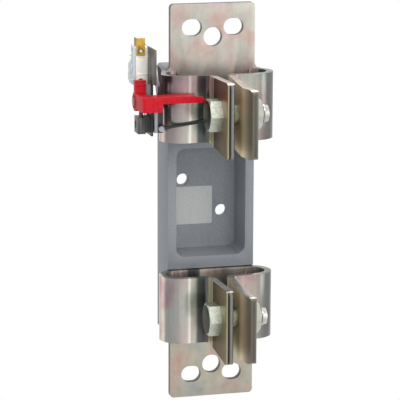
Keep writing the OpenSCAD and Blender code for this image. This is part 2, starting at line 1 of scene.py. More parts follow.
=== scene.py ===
import bpy
import bmesh
import json
import math
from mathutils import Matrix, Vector

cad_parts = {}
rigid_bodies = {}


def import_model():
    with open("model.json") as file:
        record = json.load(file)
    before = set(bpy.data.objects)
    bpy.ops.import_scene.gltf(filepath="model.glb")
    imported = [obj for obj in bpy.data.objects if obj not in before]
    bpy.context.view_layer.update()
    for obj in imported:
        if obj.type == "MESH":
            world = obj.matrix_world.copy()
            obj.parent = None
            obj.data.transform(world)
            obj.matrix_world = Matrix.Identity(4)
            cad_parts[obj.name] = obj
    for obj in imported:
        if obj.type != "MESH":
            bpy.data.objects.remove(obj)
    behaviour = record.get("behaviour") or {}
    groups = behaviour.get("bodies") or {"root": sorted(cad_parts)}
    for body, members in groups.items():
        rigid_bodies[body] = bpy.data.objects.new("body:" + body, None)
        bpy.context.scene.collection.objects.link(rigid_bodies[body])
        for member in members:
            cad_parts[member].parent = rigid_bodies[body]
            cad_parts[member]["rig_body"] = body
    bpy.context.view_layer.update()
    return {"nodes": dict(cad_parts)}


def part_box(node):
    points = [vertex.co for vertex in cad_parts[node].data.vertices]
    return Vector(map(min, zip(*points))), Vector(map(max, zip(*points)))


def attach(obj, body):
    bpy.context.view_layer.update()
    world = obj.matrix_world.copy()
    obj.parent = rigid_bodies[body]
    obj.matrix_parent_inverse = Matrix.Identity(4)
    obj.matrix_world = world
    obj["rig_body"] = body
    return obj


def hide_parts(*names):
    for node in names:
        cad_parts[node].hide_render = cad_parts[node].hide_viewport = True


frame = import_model()
nodes = frame["nodes"]
print("frame loaded:", len(nodes), "nodes")

# helpers

def nodeInput(node, name, value):
    node.inputs[name].default_value = value


def newMaterial(name):
    material = bpy.data.materials.new(name)
    material.use_nodes = True
    tree = material.node_tree
    shader = tree.nodes["Principled BSDF"]
    return material, tree, shader


def addNoise(tree, scale, detail, roughness, stretch=(1, 1, 1)):
    coords = tree.nodes.new("ShaderNodeTexCoord")
    mapping = tree.nodes.new("ShaderNodeMapping")
    nodeInput(mapping, "Scale", stretch)
    noise = tree.nodes.new("ShaderNodeTexNoise")
    nodeInput(noise, "Scale", scale)
    nodeInput(noise, "Detail", detail)
    nodeInput(noise, "Roughness", roughness)
    tree.links.new(coords.outputs["Object"], mapping.inputs["Vector"])
    tree.links.new(mapping.outputs["Vector"], noise.inputs["Vector"])
    return noise


def addRamp(tree, source, stops):
    ramp = tree.nodes.new("ShaderNodeValToRGB")
    ramp.color_ramp.elements[0].position = stops[0][0]
    ramp.color_ramp.elements[0].color = (*stops[0][1], 1)
    ramp.color_ramp.elements[1].position = stops[-1][0]
    ramp.color_ramp.elements[1].color = (*stops[-1][1], 1)
    for position, color in stops[1:-1]:
        element = ramp.color_ramp.elements.new(position)
        element.color = (*color, 1)
    tree.links.new(source, ramp.inputs["Fac"])
    return ramp


def addRange(tree, source, low, high):
    spread = tree.nodes.new("ShaderNodeMapRange")
    nodeInput(spread, "To Min", low)
    nodeInput(spread, "To Max", high)
    tree.links.new(source, spread.inputs["Value"])
    return spread


def addBump(tree, shader, source, strength, distance):
    bump = tree.nodes.new("ShaderNodeBump")
    nodeInput(bump, "Strength", strength)
    nodeInput(bump, "Distance", distance)
    tree.links.new(source, bump.inputs["Height"])
    tree.links.new(bump.outputs["Normal"], shader.inputs["Normal"])


# one noise drives both the roughness and the bump
def addGrain(tree, shader, noise, rough, grain):
    spread = addRange(tree, noise.outputs["Fac"], *rough)
    tree.links.new(spread.outputs["Result"], shader.inputs["Roughness"])
    addBump(tree, shader, noise.outputs["Fac"], grain["bump"], grain["depth"])


# the dark tone ends and the light one begins at these values of a noise
toneEnds = (0.35, 0.65)


def addTones(tree, shader, noise, dark, light):
    colors = addRamp(tree, noise.outputs["Fac"], [(toneEnds[0], dark), (toneEnds[1], light)])
    tree.links.new(colors.outputs["Color"], shader.inputs["Base Color"])


# tint, cloud, fine, waver, blotch and streak are noises, given as detail and roughness
metalGrain = {"tint": (3.0, 0.55), "scale": 900.0, "fine": (5.0, 0.6), "bump": 0.15, "depth": 0.0002}


def tintedMetal(name, dark, light, tintScale, roughLow, roughHigh):
    material, tree, shader = newMaterial(name)
    nodeInput(shader, "Metallic", 1.0)
    tint = addNoise(tree, tintScale, *metalGrain["tint"])
    addTones(tree, shader, tint, dark, light)
    fine = addNoise(tree, metalGrain["scale"], *metalGrain["fine"])
    addGrain(tree, shader, fine, (roughLow, roughHigh), metalGrain)
    return material


plasticGrain = {"cloud": (6.0, 0.65), "fine": (4.0, 0.6), "spread": 0.06, "bump": 0.2, "depth": 0.0001}


def mouldedPlastic(name, dark, light, roughness, grain, speckle=900.0, specular=0.5):
    material, tree, shader = newMaterial(name)
    nodeInput(shader, "Specular IOR Level", specular)
    cloud = addNoise(tree, speckle, *plasticGrain["cloud"])
    addTones(tree, shader, cloud, dark, light)
    fine = addNoise(tree, grain, *plasticGrain["fine"])
    rough = (roughness - plasticGrain["spread"], roughness + plasticGrain["spread"])
    addGrain(tree, shader, fine, rough, plasticGrain)
    return material


blackSteel = {
    "scale": 260.0, "fine": (6.0, 0.6), "stretch": (1, 1, 0.05),
    "tones": [(0.36, (0.012, 0.012, 0.013)), (0.50, (0.035, 0.035, 0.034)), (0.62, (0.15, 0.15, 0.14))],
    "rough": (0.30, 0.50), "bump": 0.3, "depth": 0.0002,
}


def brushedBlack():
    material, tree, shader = newMaterial("brushedBlack")
    scratches = addNoise(tree, blackSteel["scale"], *blackSteel["fine"], blackSteel["stretch"])
    colors = addRamp(tree, scratches.outputs["Fac"], blackSteel["tones"])
    tree.links.new(colors.outputs["Color"], shader.inputs["Base Color"])
    addGrain(tree, shader, scratches, blackSteel["rough"], blackSteel)
    return material


def addAxis(tree, axis, low, high):
    coords = tree.nodes.new("ShaderNodeTexCoord")
    split = tree.nodes.new("ShaderNodeSeparateXYZ")
    span = tree.nodes.new("ShaderNodeMapRange")
    nodeInput(span, "From Min", low)
    nodeInput(span, "From Max", high)
    tree.links.new(coords.outputs["Object"], split.inputs["Vector"])
    tree.links.new(split.outputs[axis], span.inputs["Value"])
    return span


def addMath(tree, operation, first, second):
    step = tree.nodes.new("ShaderNodeMath")
    step.operation = operation
    tree.links.new(first, step.inputs[0])
    tree.links.new(second, step.inputs[1])
    return step.outputs["Value"]


# a mix node's sockets for colours go by number, since their names repeat
mixSocket = {"factor": 0, "first": 6, "second": 7, "result": 2}


def addProduct(tree, factor, first, second):
    mix = tree.nodes.new("ShaderNodeMix")
    mix.data_type = "RGBA"
    mix.blend_type = "MULTIPLY"
    if isinstance(factor, float):
        mix.inputs[mixSocket["factor"]].default_value = factor
    else:
        tree.links.new(factor, mix.inputs[mixSocket["factor"]])
    tree.links.new(first, mix.inputs[mixSocket["first"]])
    tree.links.new(second, mix.inputs[mixSocket["second"]])
    return mix.outputs[mixSocket["result"]]


# tinned copper whose colour bands along one axis are painted light and shade: painted reflections, painted
# highlights on the bends and painted dark strips, under real tint blotches and streaks of wear

bandGrain = {
    "waver": (2.0, 0.5), "blotch": (3.0, 0.55), "streak": (5.0, 0.6), "scale": 700.0, "fine": (5.0, 0.6),
    "worn": [(0.3, (0.78, 0.78, 0.78)), (0.7, (1.0, 1.0, 1.0))], "wear": 0.8, "bump": 0.12, "depth": 0.0002,
}


# colours that change with the height, laid over the bands where reach is white
def addFlush(tree, look, moved, shift, colored):
    height = addAxis(tree, "Z", look["foot"], look["top"])
    risen = addMath(tree, "ADD", height.outputs["Result"], shift.outputs["Result"])
    flush = addRamp(tree, risen, look["flush"])
    reach = addRamp(tree, moved, look["reach"])
    return addProduct(tree, reach.outputs["Color"], colored, flush.outputs["Color"])


def paintedLightBandsMetal(name, span, paintedBands, tints, look):
    material, tree, shader = newMaterial(name)
    nodeInput(shader, "Metallic", look["metallic"])
    place = addAxis(tree, *span)
    waver = addNoise(tree, look["waver"], *bandGrain["waver"])
    shift = addRange(tree, waver.outputs["Fac"], -look["drift"], look["drift"])
    moved = addMath(tree, "ADD", place.outputs["Result"], shift.outputs["Result"])
    # the ramp of bands along one axis: painted reflections, painted highlights and painted shade
    paintedBand = addRamp(tree, moved, paintedBands)
    blotch = addNoise(tree, look["blotch"], *bandGrain["blotch"])
    tint = addRamp(tree, blotch.outputs["Fac"], tints)
    colored = addProduct(tree, 1.0, paintedBand.outputs["Color"], tint.outputs["Color"])
    if "flush" in look:
        colored = addFlush(tree, look, moved, shift, colored)
    streak = addNoise(tree, look["streak"], *bandGrain["streak"], look["stretch"])
    worn = addRamp(tree, streak.outputs["Fac"], bandGrain["worn"])
    final = addProduct(tree, bandGrain["wear"], colored, worn.outputs["Color"])
    tree.links.new(final, shader.inputs["Base Color"])
    fine = addNoise(tree, bandGrain["scale"], *bandGrain["fine"], look["stretch"])
    addGrain(tree, shader, fine, look["rough"], bandGrain)
    return material


# axis, start and end, in metres, of the stretch that each ramp of bands covers
paintedBandSpans = {
    "loop": ("X", -0.0425, 0.0425), "jaw": ("Y", -0.1115, -0.0605), "tab": ("Z", -0.1485, 0.1485),
    "shear": ("X", -0.0093, 0.0140), "bracket": ("X", -0.0500, -0.0425),
}
loopLook = {"waver": 30.0, "drift": 0.006, "blotch": 34.0, "streak": 260.0,
            "stretch": (1, 1, 0.06), "rough": (0.16, 0.30), "metallic": 0.86,
            "reach": [(0.44, (1, 1, 1)), (0.50, (0, 0, 0))], "foot": 0.054, "top": 0.100, "flush": [
                (0.30, (1.0, 1.0, 1.0)), (0.52, (0.94, 0.95, 0.92)), (0.72, (0.90, 0.72, 0.78)),
                (0.88, (0.80, 0.60, 0.68)), (1.00, (0.66, 0.54, 0.58))]}
jawLook = {"waver": 25.0, "drift": 0.012, "blotch": 40.0, "streak": 220.0,
           "stretch": (1, 1, 0.06), "rough": (0.34, 0.48), "metallic": 0.75}
tabLook = {"waver": 22.0, "drift": 0.06, "blotch": 52.0, "streak": 180.0,
           "stretch": (1, 1, 0.5), "rough": (0.36, 0.50), "metallic": 1.0}


# the loop's bands are painted reflections, dark and light strips across the sheet, with painted highlights
# where it bends
def loopMetal():
    return paintedLightBandsMetal("bentLoop", paintedBandSpans["loop"], [
        (0.00, (0.50, 0.49, 0.44)), (0.012, (0.92, 0.89, 0.82)), (0.030, (0.30, 0.33, 0.31)),
        (0.085, (0.32, 0.33, 0.33)), (0.115, (0.38, 0.37, 0.37)), (0.180, (0.56, 0.54, 0.52)),
        (0.205, (0.62, 0.60, 0.56)), (0.214, (1.0, 0.99, 0.96)), (0.226, (0.95, 0.93, 0.89)),
        (0.236, (0.62, 0.60, 0.56)), (0.272, (0.58, 0.55, 0.51)), (0.294, (0.13, 0.14, 0.14)),
        (0.345, (0.08, 0.09, 0.10)), (0.385, (0.13, 0.13, 0.14)), (0.40, (0.60, 0.57, 0.54)),
        (0.58, (0.50, 0.46, 0.40)), (0.61, (0.30, 0.29, 0.27)), (0.68, (0.52, 0.49, 0.45)),
        (0.75, (0.56, 0.53, 0.49)), (0.83, (0.42, 0.41, 0.38)), (0.89, (0.20, 0.21, 0.21)),
        (1.00, (0.12, 0.13, 0.13))],
        [(0.30, (0.70, 0.86, 0.78)), (0.44, (1.0, 0.99, 0.94)), (0.54, (1.0, 0.90, 0.86)),
         (0.68, (0.88, 0.60, 0.68))], loopLook)


# the left jaw's two bright strips near its root are painted highlights on the bend
def leftJawMetal():
    return paintedLightBandsMetal("leftJaw", paintedBandSpans["jaw"], [
        (0.00, (0.36, 0.31, 0.20)), (0.035, (0.34, 0.30, 0.17)), (0.09, (0.19, 0.15, 0.09)),
        (0.40, (0.17, 0.115, 0.085)), (0.76, (0.13, 0.085, 0.07)), (0.79, (0.80, 0.76, 0.72)),
        (0.825, (0.95, 0.92, 0.88)), (0.85, (0.42, 0.40, 0.38)), (0.88, (0.50, 0.47, 0.45)),
        (0.90, (1.0, 0.98, 0.95)), (0.97, (0.98, 0.96, 0.92)), (1.00, (0.50, 0.48, 0.46))],
        [(0.36, (0.92, 0.96, 0.74)), (0.50, (1.0, 0.94, 0.88)), (0.64, (1.0, 0.86, 0.82))],
        jawLook | {"reach": [(0, (1, 1, 1)), (1, (1, 1, 1))], "foot": 0.040, "top": 0.100, "flush": [
            (0.05, (0.92, 1.0, 0.70)), (0.45, (1.0, 0.98, 0.86)), (0.80, (1.0, 0.86, 0.80))]})


# the right jaw's bright strip near its front is a painted highlight where the lip flares, and its front end
# is darker
def rightJawMetal():
    return paintedLightBandsMetal("rightJaw", paintedBandSpans["jaw"], [
        (0.00, (0.16, 0.15, 0.12)), (0.10, (0.26, 0.23, 0.19)), (0.16, (0.52, 0.44, 0.34)),
        (0.225, (0.98, 0.80, 0.56)), (0.31, (0.78, 0.64, 0.44)), (0.50, (0.74, 0.65, 0.46)),
        (0.80, (0.76, 0.69, 0.56)), (1.00, (0.72, 0.69, 0.60))],
        [(0.36, (0.90, 0.96, 0.82)), (0.50, (1.0, 0.96, 0.90)), (0.64, (1.0, 0.90, 0.86))],
        jawLook | {"metallic": 0.35, "rough": (0.42, 0.56)})


# the tab's bands only make the metal lighter towards the top
def tabMetal():
    return paintedLightBandsMetal("terminalTab", paintedBandSpans["tab"], [
        (0.00, (0.50, 0.47, 0.42)), (0.10, (0.56, 0.52, 0.46)), (0.30, (0.56, 0.53, 0.48)),
        (0.70, (0.56, 0.57, 0.57)), (0.86, (0.62, 0.60, 0.57)), (1.00, (0.68, 0.66, 0.63))],
        [(0.28, (0.78, 0.86, 0.92)), (0.42, (0.96, 0.98, 0.90)), (0.52, (1.0, 0.93, 0.88)),
         (0.66, (1.0, 0.76, 0.70))], tabLook)


# the black strips on the jaws' end faces are painted shadow in the gaps beside and between them
def shearMetal():
    return paintedLightBandsMetal("shadedShearedEnd", paintedBandSpans["shear"], [
        (0.00, (0.60, 0.52, 0.36)), (0.022, (0.50, 0.42, 0.26)), (0.034, (0.03, 0.03, 0.025)),
        (0.075, (0.03, 0.03, 0.025)), (0.095, (0.20, 0.20, 0.20)), (0.150, (0.27, 0.27, 0.27)),
        (0.178, (0.19, 0.19, 0.19)), (0.195, (0.03, 0.03, 0.03)), (0.74, (0.24, 0.20, 0.17)),
        (0.86, (0.12, 0.11, 0.10)), (1.00, (0.20, 0.19, 0.17))],
        [(0.35, (0.86, 0.90, 0.90)), (0.65, (1.0, 0.96, 0.92))], jawLook | {"drift": 0.01})


# the bracket's bright strip next to the loop is a painted highlight; its middle is darker and its left
# strip grey
def bracketMetal():
    return paintedLightBandsMetal("bracketSteel", paintedBandSpans["bracket"], [
        (0.00, (0.42, 0.46, 0.48)), (0.26, (0.44, 0.48, 0.50)), (0.34, (0.10, 0.085, 0.095)),
        (0.80, (0.085, 0.075, 0.085)), (0.90, (0.80, 0.80, 0.80)), (1.00, (0.70, 0.70, 0.68))],
        [(0.35, (0.90, 0.93, 1.0)), (0.65, (1.0, 0.94, 0.92))], tabLook)


def makeFinishes():
    return {
        "tab": tabMetal(), "loop": loopMetal(), "leftJaw": leftJawMetal(), "rightJaw": rightJawMetal(),
        "shear": shearMetal(), "bracket": bracketMetal(), "black": brushedBlack(),
        # painted shade: the dark finish for the contact's tab edges and hole walls
        "cut": tintedMetal("shadedCutEdge", (0.07, 0.07, 0.075), (0.14, 0.13, 0.13), 120.0, 0.35, 0.5),
        # painted light: the lighter finish for the jaws' upward faces
        "litJawTop": tintedMetal("litJawTop", (0.58, 0.52, 0.48), (0.76, 0.71, 0.67), 120.0, 0.30, 0.42),
        "headSide": tintedMetal("headSide", (0.44, 0.47, 0.38), (0.62, 0.66, 0.58), 700.0, 0.30, 0.46),
        # painted shade: darker copies of the bolt metal for the shank between the jaws and for the head's
        # end face
        "shank": tintedMetal("shadedBoltShank", (0.20, 0.20, 0.12), (0.46, 0.46, 0.30), 200.0, 0.36, 0.50),
        "shadedHeadFace": tintedMetal("shadedHeadFace", (0.03, 0.034, 0.034), (0.07, 0.075, 0.07), 90.0, 0.34, 0.5),
        "bolt": tintedMetal("zincBolt", (0.50, 0.50, 0.45), (0.66, 0.67, 0.62), 60.0, 0.24, 0.40),
        "spring": tintedMetal("springSteel", (0.33, 0.33, 0.33), (0.46, 0.46, 0.45), 80.0, 0.25, 0.40),
        "bright": tintedMetal("brightSteel", (0.26, 0.29, 0.33), (0.46, 0.50, 0.55), 110.0, 0.18, 0.32),
        # painted shade: a darker copy of the brass for the terminal's left-facing faces and its eye
        "shadedBrass": tintedMetal("shadedBrass", (0.20, 0.14, 0.05), (0.38, 0.27, 0.10), 120.0, 0.32, 0.45),
        "brass": tintedMetal("brassLeaf", (0.58, 0.33, 0.05), (0.80, 0.52, 0.12), 140.0, 0.26, 0.40),
        "block": mouldedPlastic("greyBlock", (0.19, 0.205, 0.225), (0.235, 0.25, 0.27), 0.5, 1400.0),
        "label": mouldedPlastic("bareLabel", (0.42, 0.43, 0.43), (0.48, 0.49, 0.49), 0.55, 1800.0),
        "white": mouldedPlastic("switchWhite", (0.90, 0.90, 0.82), (0.98, 0.98, 0.93), 0.4, 1500.0,
                                speckle=300.0),
        "lid": mouldedPlastic("switchLid", (0.46, 0.52, 0.55), (0.60, 0.66, 0.68), 0.3, 1500.0),
        "red": mouldedPlastic("leverRed", (0.42, 0.004, 0.012), (0.56, 0.008, 0.020), 0.42, 1500.0,
                              speckle=420.0, specular=0.22),
        "darkRed": mouldedPlastic("plungerRed", (0.25, 0.02, 0.02), (0.32, 0.03, 0.03), 0.3, 1500.0),
        "wire": mouldedPlastic("blackWire", (0.010, 0.010, 0.011), (0.02, 0.02, 0.021), 0.35, 1500.0),
    }


# nodes shown as they are or as a softened copy; the others get their finish where they are made
finishOfNode = {
    "insulator_block": "block", "contact_screws": "bolt", "contact_washers": "bolt",
    "spring_washers": "spring", "side_plate": "black", "loop_bracket": "bracket",
    "bracket_rivets": "bolt", "wire_eyelet": "bright", "retaining_wire": "wire",
    "switch_plunger": "darkRed", "switch_nuts": "bolt", "pin_ring": "spring",
    "lever_spring": "spring", "stop_block": "black",
}


def giveFinish(piece, *names):
    piece.data.materials.clear()
    for name in names:
        piece.data.materials.append(finishes[name])


def dressNodes():
    for name, finish in finishOfNode.items():
        giveFinish(nodes[name], finish)


# the solids' sharp edges are softened on copies that stand for them

softening = {
    "insulator_block": 0.0007, "side_plate": 0.0002, "loop_bracket": 0.0002,
    "stop_block": 0.0010, "spring_washers": 0.0004,
    "bracket_rivets": 0.0005, "wire_eyelet": 0.0004,
    "switch_nuts": 0.0002, "contact_screws": 0.0005, "contact_washers": 0.0002,
    "pin_ring": 0.0002, "switch_plunger": 0.0004,
}


def activate(piece):
    bpy.ops.object.select_all(action="DESELECT")
    piece.select_set(True)
    bpy.context.view_layer.objects.active = piece


# corners closer than this, in metres, are welded, and faces flatter than this, in degrees, are joined
meshWeld = {"copy": 0.000002, "sheet": 0.000005, "flat": 0.5}


def cleanMesh(mesh, weld):
    shape = bmesh.new()
    shape.from_mesh(mesh)
    bmesh.ops.remove_doubles(shape, verts=shape.verts, dist=weld)
    bmesh.ops.dissolve_limit(shape, angle_limit=math.radians(meshWeld["flat"]), verts=shape.verts,
                             edges=shape.edges)
    shape.to_mesh(mesh)
    shape.free()


def cleanCopy(nodeName, pieceName):
    piece = bpy.data.objects.new(pieceName, nodes[nodeName].data.copy())
    bpy.context.scene.collection.objects.link(piece)
    cleanMesh(piece.data, meshWeld["copy"])
    return piece


# edges sharper than the first angle, in degrees, are rounded, and those under the second shaded smooth
edgeAngles = {"sharp": 35, "smooth": 30}


def smoothFaces():
    bpy.ops.object.shade_smooth_by_angle(angle=math.radians(edgeAngles["smooth"]))


def roundEdges(piece, width, segments=2):
    activate(piece)
    bevel = piece.modifiers.new("edges", "BEVEL")
    bevel.width = width
    bevel.segments = segments
    bevel.limit_method = "ANGLE"
    bevel.angle_limit = math.radians(edgeAngles["sharp"])
    bpy.ops.object.modifier_apply(modifier=bevel.name)
    smoothFaces()


def softenNode(name, width):
    piece = cleanCopy(name, name + ".soft")
    roundEdges(piece, width)
    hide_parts(name)
    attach(piece, nodes[name]["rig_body"])


# contact: its three solids become one bent sheet, with a finish for each side of it

contactSheet = {"edgeRound": 0.0007, "parts": ("_plate", "_left_jaw", "_right_jaw"),
                "jawStart": -0.0618, "plateFront": -0.0352, "tabStart": 0.0998,
                "facing": 0.5, "level": 0.8, "leftShear": -0.3, "rightShear": -0.85}
contactSlots = ["tab", "loop", "leftJaw", "rightJaw", "cut", "shear", "litJawTop"]
contactHeights = {"upper": 0.075, "lower": -0.075}


def contactSlot(face):
    x, y, z = face.center
    if y > contactSheet["plateFront"] and abs(z) > contactSheet["tabStart"]:
        # the tab's edges and hole walls take the dark finish: painted shade
        return "cut" if abs(face.normal.y) < contactSheet["facing"] else "tab"
    if y > contactSheet["jawStart"]:
        return "loop"
    shear = contactSheet["leftShear" if x < 0 else "rightShear"]
    if face.normal.y < shear and abs(face.normal.z) < contactSheet["level"]:
        return "shear"
    # the jaws' upward faces take the lighter finish: painted light
    if face.normal.z > contactSheet["level"]:
        return "litJawTop"
    return "leftJaw" if x < 0 else "rightJaw"


def makeContact(side):
    names = [side + part for part in contactSheet["parts"]]
    sheet = cleanCopy(names[0], side + "_contact_sheet")
    for name in names[1:]:
        combine(sheet, cleanCopy(name, name + ".join"), "UNION")
    cleanMesh(sheet.data, meshWeld["sheet"])
    roundEdges(sheet, contactSheet["edgeRound"], 3)
    giveFinish(sheet, *contactSlots)
    for face in sheet.data.polygons:
        face.material_index = contactSlots.index(contactSlot(face))
    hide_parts(*names)
    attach(sheet, "fuse_base")


# modelling by operators

roundSteps = {"rod": 48, "ring": 36, "wire": 10}


def applyPlace(piece, name):
    piece.name = name
    piece.data.name = name
    bpy.ops.object.transform_apply(location=True, rotation=True, scale=True)
    return piece


def addBlock(name, low, high):
    bpy.ops.object.select_all(action="DESELECT")
    middle = [(a + b) / 2 for a, b in zip(low, high)]
    bpy.ops.mesh.primitive_cube_add(size=1, location=middle)
    piece = bpy.context.active_object
    piece.scale = [b - a for a, b in zip(low, high)]
    return applyPlace(piece, name)


def addRod(name, start, end, radius, sides=roundSteps["rod"]):
    bpy.ops.object.select_all(action="DESELECT")
    start, end = Vector(start), Vector(end)
    line = end - start
    bpy.ops.mesh.primitive_cylinder_add(
        vertices=sides, radius=radius, depth=line.length, location=(start + end) / 2,
        rotation=line.to_track_quat("Z", "Y").to_euler())
    return applyPlace(bpy.context.active_object, name)


def addRing(name, place, axis, radius, thickness):
    bpy.ops.object.select_all(action="DESELECT")
    bpy.ops.mesh.primitive_torus_add(
        location=place, rotation=Vector(axis).to_track_quat("Z", "Y").to_euler(),
        major_radius=radius, minor_radius=thickness, major_segments=roundSteps["ring"],
        minor_segments=roundSteps["wire"])
    return applyPlace(bpy.context.active_object, name)


def openFaces(piece, test):
    activate(piece)
    bpy.context.tool_settings.mesh_select_mode = (False, False, True)
    for face in piece.data.polygons:
        face.select = False
    for edge in piece.data.edges:
        edge.select = False
    for corner in piece.data.vertices:
        corner.select = False
    for face in piece.data.polygons:
        face.select = test(face)
    bpy.ops.object.mode_set(mode="EDIT")


def closeEdit():
    bpy.ops.object.mode_set(mode="OBJECT")


def joinPieces(pieces, name):
    bpy.ops.object.select_all(action="DESELECT")
    for piece in pieces:
        piece.select_set(True)
    bpy.context.view_layer.objects.active = pieces[0]
    bpy.ops.object.join()
    pieces[0].name = name
    pieces[0].data.name = name
    return pieces[0]


def combine(piece, other, kind):
    activate(piece)
    cut = piece.modifiers.new("cut", "BOOLEAN")
    cut.operation = kind
    cut.solver = "EXACT"
    cut.object = other
    bpy.ops.object.modifier_apply(modifier=cut.name)
    bpy.data.objects.remove(other)


# everything beyond the plane goes, on the side that its normal points to
def cutAway(piece, place, normal):
    openFaces(piece, lambda face: True)
    bpy.ops.mesh.bisect(plane_co=place, plane_no=normal, clear_outer=True, use_fill=True)
    closeEdit()


# clamp bolt: head with rounded edges, smooth shank, and a thread of ridges without a helix

clampBolt = {
    "headBack": -0.00925, "end": 0.02675, "y": -0.086, "core": 0.00615, "crest": 0.007, "pitch": 0.002,
    "threadStart": 0.0125, "endGap": 0.001, "ridgeShare": 0.9, "sunk": 0.001, "facing": -0.9,
    "headEdge": 0.0004, "coreEdge": 0.0006, "ridgeEdge": 0.0008,
}


def makeThread(name, z):
    x, y, pitch = clampBolt["threadStart"], clampBolt["y"], clampBolt["pitch"]
    first = addRod(name + ".ridge", (x, y, z), (x + pitch * clampBolt["ridgeShare"], y, z),
                   clampBolt["crest"])
    roundEdges(first, clampBolt["ridgeEdge"], 2)
    ridges = [first]
    count = int((clampBolt["end"] - clampBolt["endGap"] - x) / pitch)
    for turn in range(1, count):
        ridge = first.copy()
        ridge.data = first.data.copy()
        bpy.context.scene.collection.objects.link(ridge)
        activate(ridge)
        ridge.location.x = turn * pitch
        bpy.ops.object.transform_apply(location=True)
        ridges.append(ridge)
    return ridges


def makeBoltHead(node):
    head = cleanCopy(node, node + ".head")
    cutAway(head, (clampBolt["headBack"], 0, 0), (1, 0, 0))
    roundEdges(head, clampBolt["headEdge"], 3)
    giveFinish(head, "headSide", "shadedHeadFace")
    # the head's end face takes a near-black copy of its metal: painted shade
    for face in head.data.polygons:
        face.material_index = 1 if face.normal.x < clampBolt["facing"] else 0
    return head


def makeBolt(side, z):
    node = side + "_clamp_bolt"
    head = makeBoltHead(node)
    start = (clampBolt["headBack"] - clampBolt["sunk"], clampBolt["y"], z)
    core = addRod(node + ".core", start, (clampBolt["end"], clampBolt["y"], z), clampBolt["core"])
    roundEdges(core, clampBolt["coreEdge"], 2)
    shank = addRod(node + ".shank", start, (clampBolt["threadStart"], clampBolt["y"], z),
                   clampBolt["crest"])
    # the shank between the jaws takes a darker, olive copy of the bolt's metal: painted shade
    giveFinish(shank, "shank")
    threads = [core] + makeThread(node, z)
    for part in threads:
        giveFinish(part, "bolt")
    bolt = joinPieces([head, shank] + threads, side + ".hexBolt")
    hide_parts(node)
    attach(bolt, node)


# nuts: the hexagon's corners are turned off at both ends

clampNut = {"turned": 0.01262, "sides": 96, "clear": 0.0002, "chamfer": 0.0019, "edge": 0.0003}


def makeNuts():
    nuts = cleanCopy("clamp_nuts", "clampNuts")
    low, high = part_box("clamp_nuts")
    lathed = []
    for z in contactHeights.values():
        rod = addRod("lathed", (low[0] - clampNut["clear"], clampBolt["y"], z),
                     (high[0], clampBolt["y"], z), clampNut["turned"], clampNut["sides"])
        roundEdges(rod, clampNut["chamfer"], 1)
        lathed.append(rod)
    combine(nuts, joinPieces(lathed, "lathed"), "INTERSECT")
    roundEdges(nuts, clampNut["edge"], 2)
    giveFinish(nuts, "bolt")
    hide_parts("clamp_nuts")
    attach(nuts, "fuse_base")


# label: a bare sheet with rounded corners

bareLabel = {"corner": 0.0012, "steps": 4, "edge": 0.00004, "across": 0.0001}


def makeLabel():
    low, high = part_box("rating_label")
    label = addBlock("bareLabel", low, high)
    activate(label)
    corners = label.modifiers.new("corners", "BEVEL")
    corners.width = bareLabel["corner"]
    corners.segments = bareLabel["steps"]
    corners.limit_method = "WEIGHT"
    weights = label.data.attributes.new("bevel_weight_edge", "FLOAT", "EDGE")
    for edge in label.data.edges:
        a, b = (label.data.vertices[i].co for i in edge.vertices)
        weights.data[edge.index].value = 1.0 if abs(a.y - b.y) > bareLabel["across"] else 0.0
    bpy.ops.object.modifier_apply(modifier=corners.name)
    giveFinish(label, "label")
    roundEdges(label, bareLabel["edge"], 1)
    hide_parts("rating_label")
    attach(label, "fuse_base")


# signal lever: the moulding, two raised pads in front, an inner boss and a cap on its hub, two ridges

leverShape = {"edge": 0.0009, "hubY": -0.050, "hubZ": 0.081, "hubSunk": 0.001}
leverPads = {
    "high": {"x": (-0.0610, -0.0540), "z": (0.0766, 0.0874), "back": 0.0},
    "low": {"x": (-0.0540, -0.0477), "z": (0.0768, 0.0868), "back": 0.0008},
}
padShape = {"proud": 0.0004, "sunk": 0.004, "rim": 0.0007, "rise": 0.0003, "edge": 0.0006, "facing": -0.9}
leverBosses = [
    {"proud": 0.0006, "radius": 0.0050, "edge": 0.0005},
    {"proud": 0.0006, "radius": 0.0056, "edge": 0.0006},
]
leverRidges = {"heights": (0.0925, 0.0958), "thick": 0.0004, "front": -0.0530, "back": -0.0520,
               "proud": 0.0003, "reach": 0.0083, "edge": 0.00015}


def addLeverPads(front):
    pads = []
    for name, spot in leverPads.items():
        face = front - padShape["proud"] + spot["back"]
        pad = addBlock("lever." + name, (spot["x"][0], face, spot["z"][0]),
                       (spot["x"][1], front + padShape["sunk"], spot["z"][1]))
        openFaces(pad, lambda side: side.normal.y < padShape["facing"])
        bpy.ops.mesh.inset(thickness=padShape["rim"])
        bpy.ops.transform.translate(value=(0, -padShape["rise"], 0))
        closeEdit()
        roundEdges(pad, padShape["edge"], 3)
        pads.append(pad)
    return pads


def addLeverBosses(side):
    y, z = leverShape["hubY"], leverShape["hubZ"]
    bosses = []
    for step in leverBosses:
        boss = addRod("lever.boss", (side - step["proud"], y, z), (side + leverShape["hubSunk"], y, z),
                      step["radius"])
        roundEdges(boss, step["edge"], 4)
        bosses.append(boss)
    return bosses


def addLeverRidges(side):
    ridges = []
    for height in leverRidges["heights"]:
        ridge = addBlock("lever.ridge", (side - leverRidges["proud"], leverRidges["front"], height),
                         (side + leverRidges["reach"], leverRidges["back"], height + leverRidges["thick"]))
        roundEdges(ridge, leverRidges["edge"], 2)
        ridges.append(ridge)
    return ridges


def makeLever():
    lever = cleanCopy("signal_lever", "leverMoulding")
    roundEdges(lever, leverShape["edge"], 3)
    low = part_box("signal_lever")[0]
    parts = [lever] + addLeverPads(low[1]) + addLeverBosses(low[0]) + addLeverRidges(low[0])
    for part in parts:
        giveFinish(part, "red")
    lever = joinPieces(parts, "leverMoulding")
    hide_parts("signal_lever")
    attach(lever, "signal_lever")


